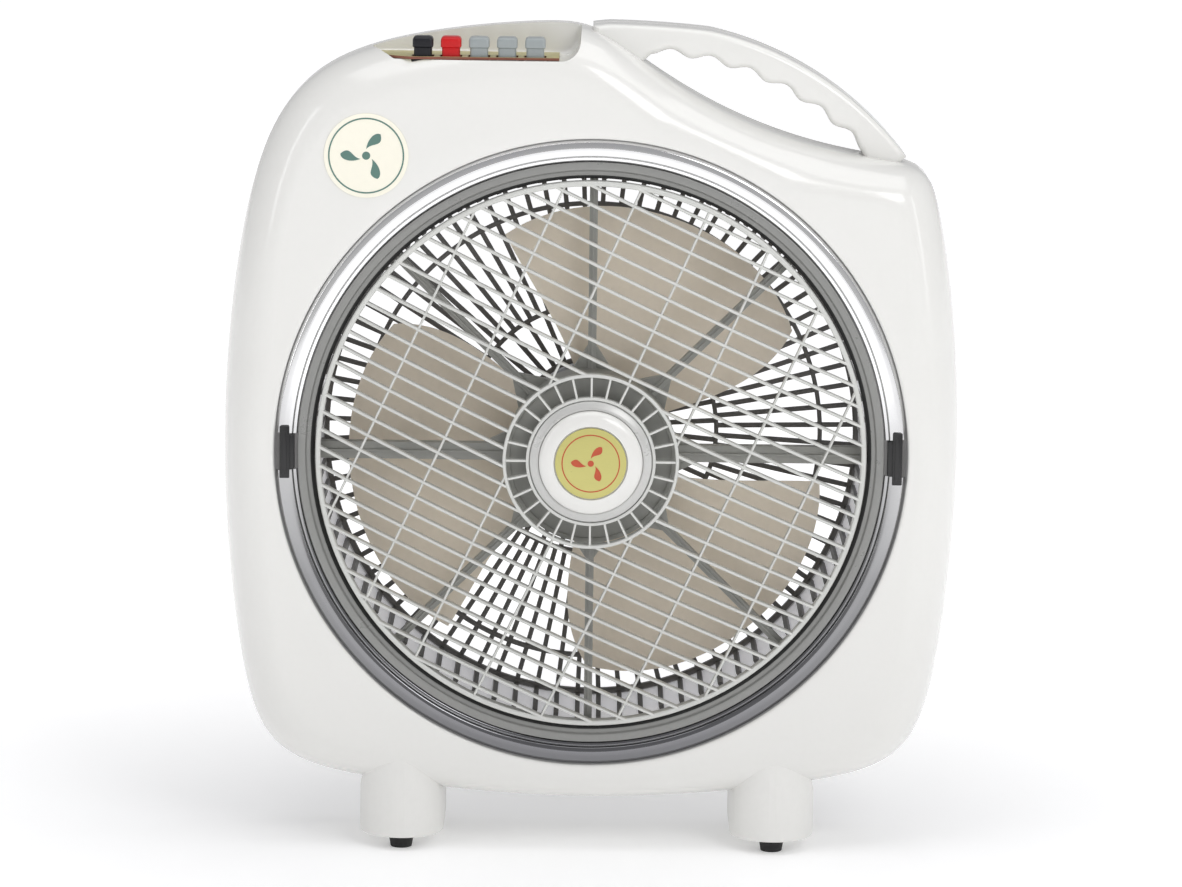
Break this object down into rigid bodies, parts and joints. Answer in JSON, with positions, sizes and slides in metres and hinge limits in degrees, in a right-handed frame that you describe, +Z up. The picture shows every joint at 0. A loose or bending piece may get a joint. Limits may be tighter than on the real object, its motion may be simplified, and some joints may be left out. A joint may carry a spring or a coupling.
{
  "type": "box fan",
  "caption": "Box fan: rounded white housing with a carrying handle, turning louvre, three-blade fan, piano keys and two feet.",
  "frame": {"origin": "on the floor, in the middle of the fan's bounding box", "axes": "+Z up, -Y towards the front, where the air comes out, +X to the right seen from the front"},
  "size_m": [0.452, 0.1476, 0.5105],
  "materials": {
    "shell_white": "glossy warm white ABS moulding",
    "louvre_silver": "silver-white satin moulding",
    "carrier_grey": "mid grey satin moulding",
    "grille_charcoal": "charcoal moulding",
    "chrome_trim": "bright plated plastic ring",
    "blade_taupe": "translucent-looking taupe blade plastic",
    "olive_gold": "olive gold foil plate",
    "key_black": "black plastic",
    "key_red": "red plastic",
    "key_grey": "grey plastic",
    "rubber_black": "black rubber",
    "steel": "zinc plated steel",
    "copper_winding": "enamelled copper winding",
    "sticker_cream": "cream printed label film",
    "bronze": "sintered bronze bush"
  },
  "bodies": {
    "housing": {"front_shell": "shell_white", "rear_shell": "shell_white", "foot_left": "shell_white", "foot_right": "shell_white", "chrome_trim_upper": "chrome_trim", "chrome_trim_lower": "chrome_trim", "trim_clip_left": "key_black", "trim_clip_right": "key_black", "louvre_carrier": "carrier_grey", "louvre_motor": "steel", "motor_front_cover": "steel", "motor_rear_cover": "steel", "stator_core": "steel", "winding_front": "copper_winding", "winding_rear": "copper_winding", "front_bush": "bronze", "rear_bush": "bronze", "rear_grille": "grille_charcoal", "control_plate": "olive_gold", "key_switch_block": "key_black", "capacitor": "key_black", "emblem_sticker": "sticker_cream", "cord_grommet": "rubber_black", "shell_screw_1": "steel", "shell_screw_2": "steel", "shell_screw_3": "steel", "shell_screw_4": "steel", "shell_screw_5": "steel", "shell_screw_6": "steel", "motor_screw_1": "steel", "motor_screw_2": "steel", "motor_screw_3": "steel", "pad_left_front": "rubber_black", "pad_left_rear": "rubber_black", "pad_right_front": "rubber_black", "pad_right_rear": "rubber_black"},
    "fan_rotor": {"fan_blade": "blade_taupe", "motor_shaft": "steel", "rotor_core": "steel"},
    "louvre": {"louvre_grille": "louvre_silver", "louvre_hub": "carrier_grey", "hub_cap": "shell_white", "hub_badge": "olive_gold", "louvre_drive_shaft": "steel"},
    "key_swing": {"key_swing": "key_black"},
    "key_off": {"key_off": "key_red"},
    "key_low": {"key_low": "key_grey"},
    "key_medium": {"key_medium": "key_grey"},
    "key_high": {"key_high": "key_grey"}
  },
  "joints": [
    {"name": "fan_spin", "type": "hinge", "parent": "housing", "child": "fan_rotor", "pos_m": [0, 0, 0.25], "axis": [0, 1, 0], "continuous": true},
    {"name": "louvre_spin", "type": "hinge", "parent": "housing", "child": "louvre", "pos_m": [0, 0, 0.25], "axis": [0, 1, 0], "continuous": true},
    {"name": "key_swing_press", "type": "slide", "parent": "housing", "child": "key_swing", "axis": [0, 0, -1], "range_m": [0, 0.005], "stiffness_N_per_m": 400},
    {"name": "key_off_press", "type": "slide", "parent": "housing", "child": "key_off", "axis": [0, 0, -1], "range_m": [0, 0.005], "stiffness_N_per_m": 400},
    {"name": "key_low_press", "type": "slide", "parent": "housing", "child": "key_low", "axis": [0, 0, -1], "range_m": [0, 0.005], "stiffness_N_per_m": 400},
    {"name": "key_medium_press", "type": "slide", "parent": "housing", "child": "key_medium", "axis": [0, 0, -1], "range_m": [0, 0.005], "stiffness_N_per_m": 400},
    {"name": "key_high_press", "type": "slide", "parent": "housing", "child": "key_high", "axis": [0, 0, -1], "range_m": [0, 0.005], "stiffness_N_per_m": 400}
  ]
}
